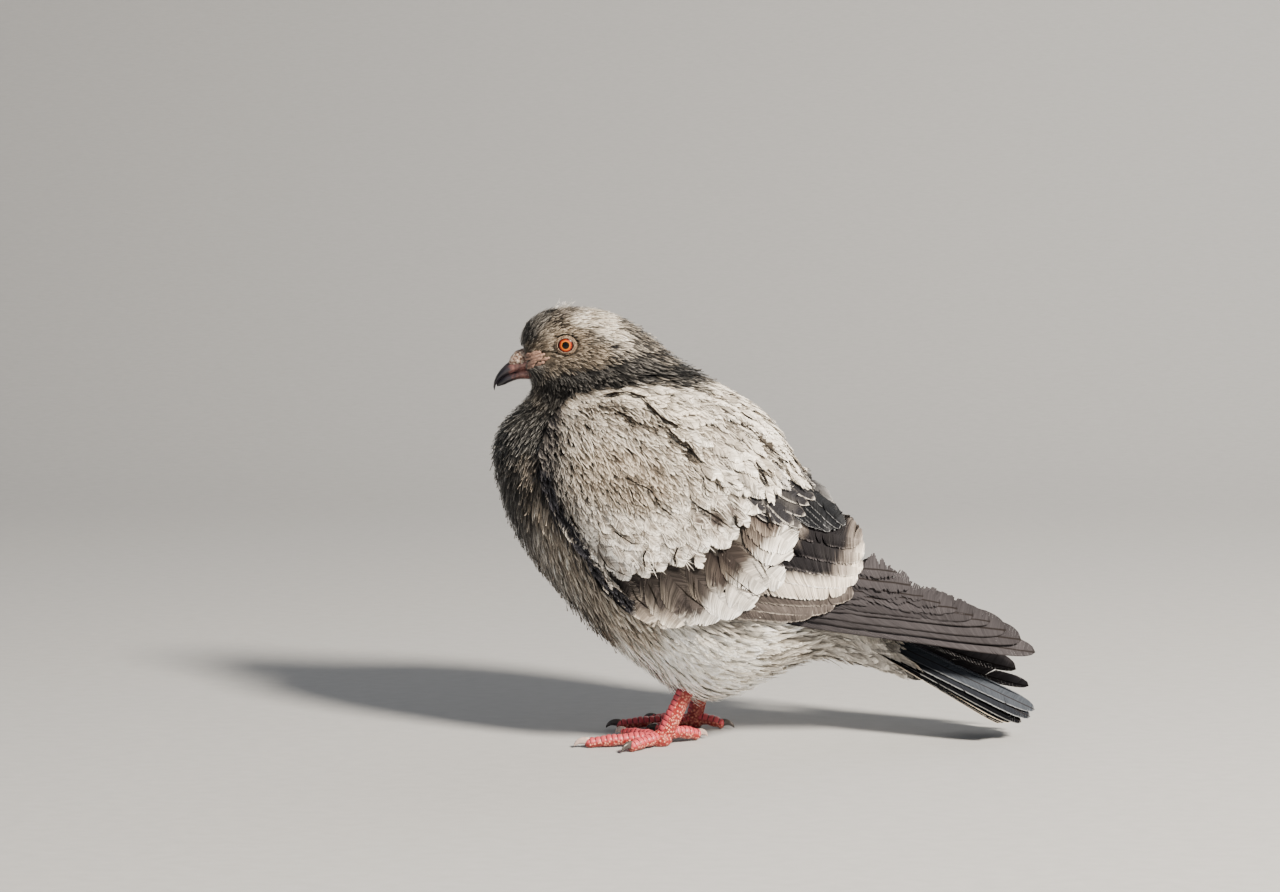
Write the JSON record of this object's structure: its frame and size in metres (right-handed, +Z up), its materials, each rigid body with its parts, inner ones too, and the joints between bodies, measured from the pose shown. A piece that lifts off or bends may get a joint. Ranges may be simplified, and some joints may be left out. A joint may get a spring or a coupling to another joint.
{
  "type": "pigeon",
  "caption": "Feral pigeon standing at rest with fluffed feathers, drawn-in neck and folded wings, life size, as a still museum model.",
  "frame": {"origin": "on the ground, under the middle of the bird", "axes": "+X towards the tail, so the bill points along -X; the bird's left side faces -Y; +Z up"},
  "size_m": [0.2512, 0.1184, 0.2008],
  "materials": {
    "plumage": "soft matt feathers, cream and pale grey",
    "dark_plumage": "silky narrow feathers, blue-black",
    "flight_feather": "matt feather vanes with a faint sheen, brown-grey",
    "eye": "wet gloss, orange iris",
    "horn": "polished horn, slate black",
    "foot_skin": "dry scaled skin, coral red"
  },
  "bodies": {
    "root": {"head": "plumage", "eye_left": "eye", "eye_right": "eye", "bill_upper": "horn", "bill_lower": "horn", "neck": "dark_plumage", "torso": "plumage", "wing_left": "flight_feather", "wing_right": "flight_feather", "tail": "flight_feather", "leg_left": "foot_skin", "foot_left": "foot_skin", "claw_left_middle": "horn", "claw_left_outer": "horn", "claw_left_inner": "horn", "claw_left_hind": "horn", "leg_right": "foot_skin", "foot_right": "foot_skin", "claw_right_middle": "horn", "claw_right_outer": "horn", "claw_right_inner": "horn", "claw_right_hind": "horn"}
  },
  "joints": []
}
